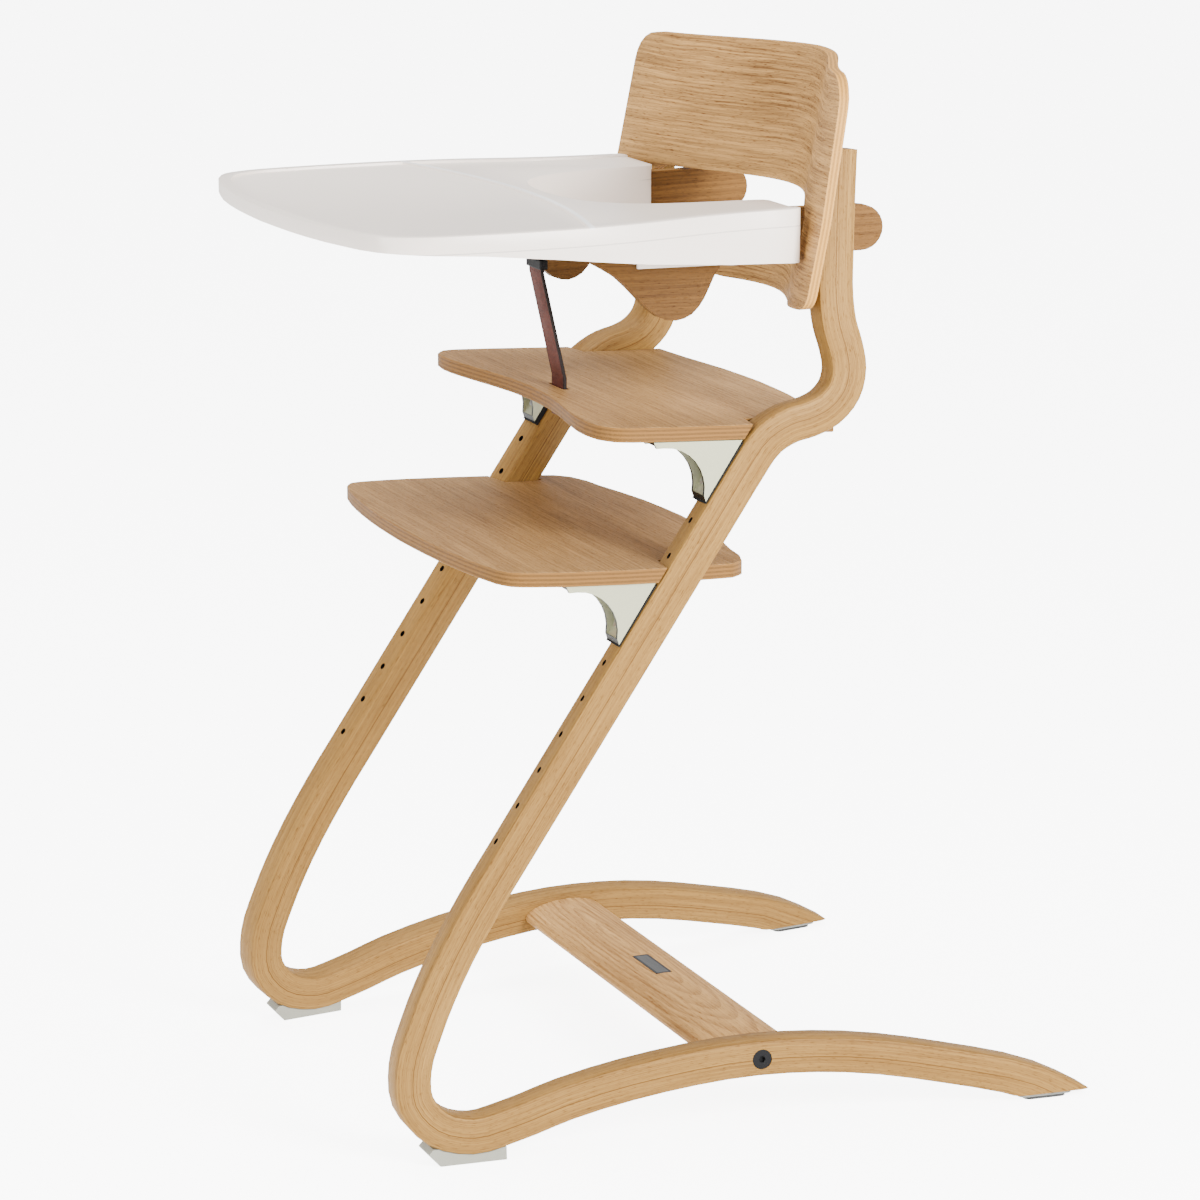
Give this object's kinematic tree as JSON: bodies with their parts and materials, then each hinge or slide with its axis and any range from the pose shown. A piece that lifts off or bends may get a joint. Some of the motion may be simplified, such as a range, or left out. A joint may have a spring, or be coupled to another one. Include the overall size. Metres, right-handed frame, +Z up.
{
  "type": "baby high chair",
  "caption": "Baby high chair with bent laminated side frames, height-adjustable seat and footrest, dished backrest, wooden safety bar with strap, and lift-off tray",
  "frame": {"origin": "on the floor, at the middle of the bounding box", "axes": "+Z up; the sitter faces -Y; +X is the sitter's left"},
  "size_m": [0.5054, 0.6051, 0.825],
  "materials": {
    "frame_wood": "clear satin lacquer over bent, laminated beech or oak",
    "plate_wood": "oak-veneered plywood, clear satin lacquer",
    "back_wood": "moulded plywood with streaky oak veneer, clear satin lacquer",
    "rail_wood": "bent plywood with darker oak veneer, satin",
    "crossbar_wood": "solid oak, clear satin lacquer",
    "cast_aluminium": "cast, satin, bare",
    "black_rubber": "moulded, matt black",
    "black_steel": "black oxide",
    "zinc_steel": "zinc plated",
    "badge_metal": "plain grey plate",
    "tray_plastic": "moulded, warm off-white, satin",
    "glide_plastic": "moulded, pale grey-green",
    "black_felt": "pressed felt",
    "strap_leather": "dark brown, flat, with dark edges"
  },
  "bodies": {
    "chair": {"frame_left": "frame_wood", "frame_right": "frame_wood", "crossbar": "crossbar_wood", "crossbar_bolt_left": "black_steel", "crossbar_bolt_right": "black_steel", "crossbar_nut_left": "zinc_steel", "crossbar_nut_right": "zinc_steel", "badge_plate": "badge_metal", "front_glide_left": "glide_plastic", "front_glide_right": "glide_plastic", "rear_glide_left": "glide_plastic", "rear_glide_right": "glide_plastic", "rear_felt_left": "black_felt", "rear_felt_right": "black_felt", "backrest": "back_wood", "back_screw_left_lower": "zinc_steel", "back_screw_left_upper": "zinc_steel", "back_screw_right_lower": "zinc_steel", "back_screw_right_upper": "zinc_steel", "safety_bar": "rail_wood", "strap": "strap_leather", "strap_clip": "zinc_steel"},
    "seat": {"seat_plate": "plate_wood", "seat_bracket_left": "cast_aluminium", "seat_bracket_right": "cast_aluminium", "seat_pad_left": "black_rubber", "seat_pad_right": "black_rubber", "seat_leg_screw_left": "zinc_steel", "seat_leg_screw_right": "zinc_steel", "seat_plate_screw_left_front": "zinc_steel", "seat_plate_screw_left_rear": "zinc_steel", "seat_plate_screw_right_front": "zinc_steel", "seat_plate_screw_right_rear": "zinc_steel", "strap_stud": "zinc_steel"},
    "footrest": {"footrest_plate": "plate_wood", "footrest_bracket_left": "cast_aluminium", "footrest_bracket_right": "cast_aluminium", "footrest_pad_left": "black_rubber", "footrest_pad_right": "black_rubber", "footrest_leg_screw_left": "zinc_steel", "footrest_leg_screw_right": "zinc_steel", "footrest_plate_screw_left_front": "zinc_steel", "footrest_plate_screw_left_rear": "zinc_steel", "footrest_plate_screw_right_front": "zinc_steel", "footrest_plate_screw_right_rear": "zinc_steel"},
    "tray": {"tray": "tray_plastic", "tray_clip_left": "tray_plastic", "tray_clip_right": "tray_plastic"}
  },
  "joints": [
    {"name": "seat_slide", "type": "slide", "parent": "chair", "child": "seat", "axis": [0, 0.564, 0.8258], "range_m": [-0.032, 0], "deforming": ["strap"]},
    {"name": "footrest_slide", "type": "slide", "parent": "chair", "child": "footrest", "axis": [0, 0.564, 0.8258], "range_m": [-0.192, 0]},
    {"name": "tray_lift", "type": "slide", "parent": "chair", "child": "tray", "axis": [0, 0, 1], "range_m": [0, 0.12]}
  ]
}
